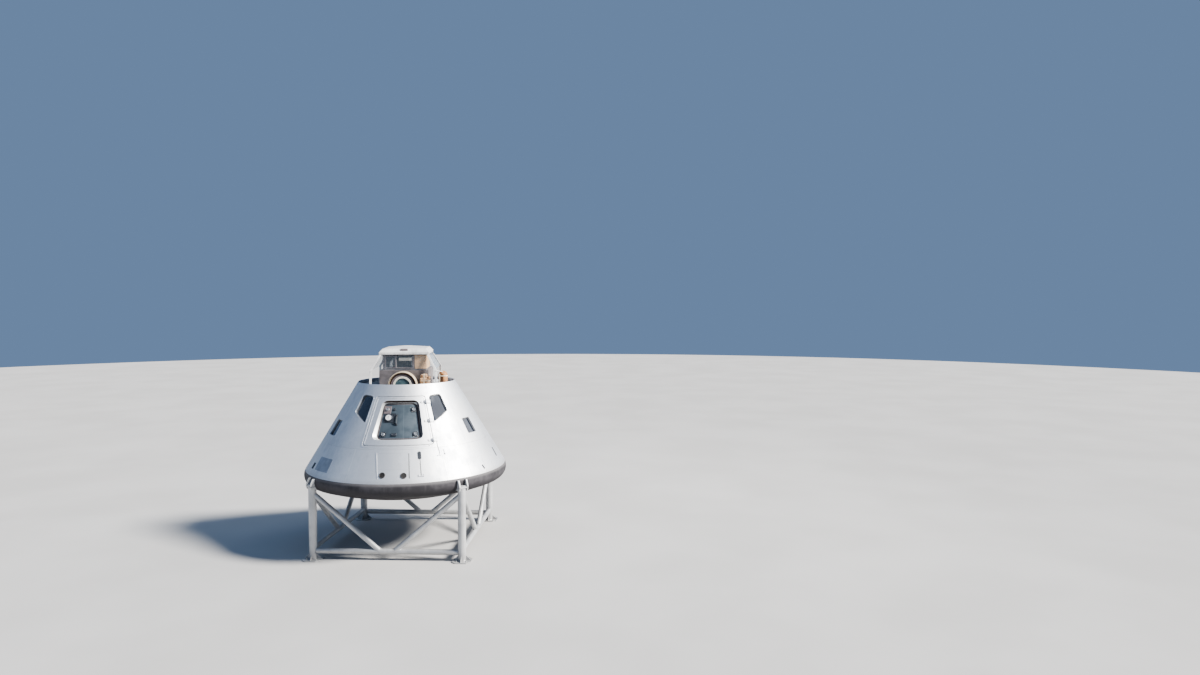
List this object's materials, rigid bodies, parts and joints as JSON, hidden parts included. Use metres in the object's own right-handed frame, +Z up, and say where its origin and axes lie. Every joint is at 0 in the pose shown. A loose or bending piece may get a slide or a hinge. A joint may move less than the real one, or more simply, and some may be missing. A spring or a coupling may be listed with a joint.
{
  "type": "crew capsule on a display stand",
  "caption": "Cone-shaped crew capsule with a rounded heat shield, a hinged hatch, windows and a glazed top cage, held at its rim by a welded tube stand.",
  "frame": {"origin": "on the floor under the capsule's axis, in the middle of the stand", "axes": "+Z up along the capsule's axis, -Y out of the stand's front side; the hatch faces 9.3 degrees from -Y towards +X"},
  "size_m": [3.9096, 3.9096, 3.88],
  "materials": {
    "skin": "satin",
    "shield": "matte",
    "stand": "satin",
    "deck": "matte",
    "hatch_inside": "satin",
    "dial": "gloss",
    "fitting": "satin",
    "vent": "matte",
    "cage": "satin",
    "housing": "matte",
    "barrel": "satin",
    "cloth": "matte",
    "glass": "gloss"
  },
  "bodies": {
    "root": {"heat_shield": "shield", "cabin_floor": "deck", "forward_deck": "deck", "wall_lower_front": "skin", "wall_lower_right": "skin", "wall_lower_rear": "skin", "wall_lower_left": "skin", "wall_upper_front": "skin", "wall_upper_right": "skin", "wall_upper_rear": "skin", "wall_upper_left": "skin", "window_left_forward": "glass", "window_right_forward": "glass", "window_left_side": "glass", "window_right_side": "glass", "vent_left": "vent", "vent_right": "vent", "hinge_bracket_1": "fitting", "hinge_bracket_2": "fitting", "hinge_bracket_3": "fitting", "cage_strut_front_left": "cage", "cage_strut_front_right": "cage", "cage_strut_rear_right": "cage", "cage_strut_rear_left": "cage", "cage_glass_front": "glass", "cage_glass_right": "glass", "cage_glass_rear": "glass", "cage_glass_left": "glass", "front_barrel": "barrel", "side_canister": "barrel", "cage_cap": "cage", "tunnel_housing": "housing", "stowed_pack": "cloth", "stand_post_front_left": "stand", "stand_post_front_right": "stand", "stand_post_rear_right": "stand", "stand_post_rear_left": "stand", "stand_rail_front": "stand", "stand_brace_front_left": "stand", "stand_brace_front_right": "stand", "stand_rail_right": "stand", "stand_brace_right_left": "stand", "stand_brace_right_right": "stand", "stand_rail_rear": "stand", "stand_brace_rear_left": "stand", "stand_brace_rear_right": "stand", "stand_rail_left": "stand", "stand_brace_left_left": "stand", "stand_brace_left_right": "stand"},
    "hatch": {"hatch_frame": "skin", "hatch_plate": "hatch_inside", "hatch_dial": "dial", "hatch_handle": "fitting", "hinge_strap_1": "fitting", "hinge_strap_2": "fitting", "hinge_strap_3": "fitting"}
  },
  "joints": [
    {"name": "hatch_hinge", "type": "hinge", "parent": "root", "child": "hatch", "pos_m": [0.74353, -1.12421, 2.55387], "axis": [-0.2834, 0.4285, 0.858], "range_deg": [0, 110]}
  ]
}
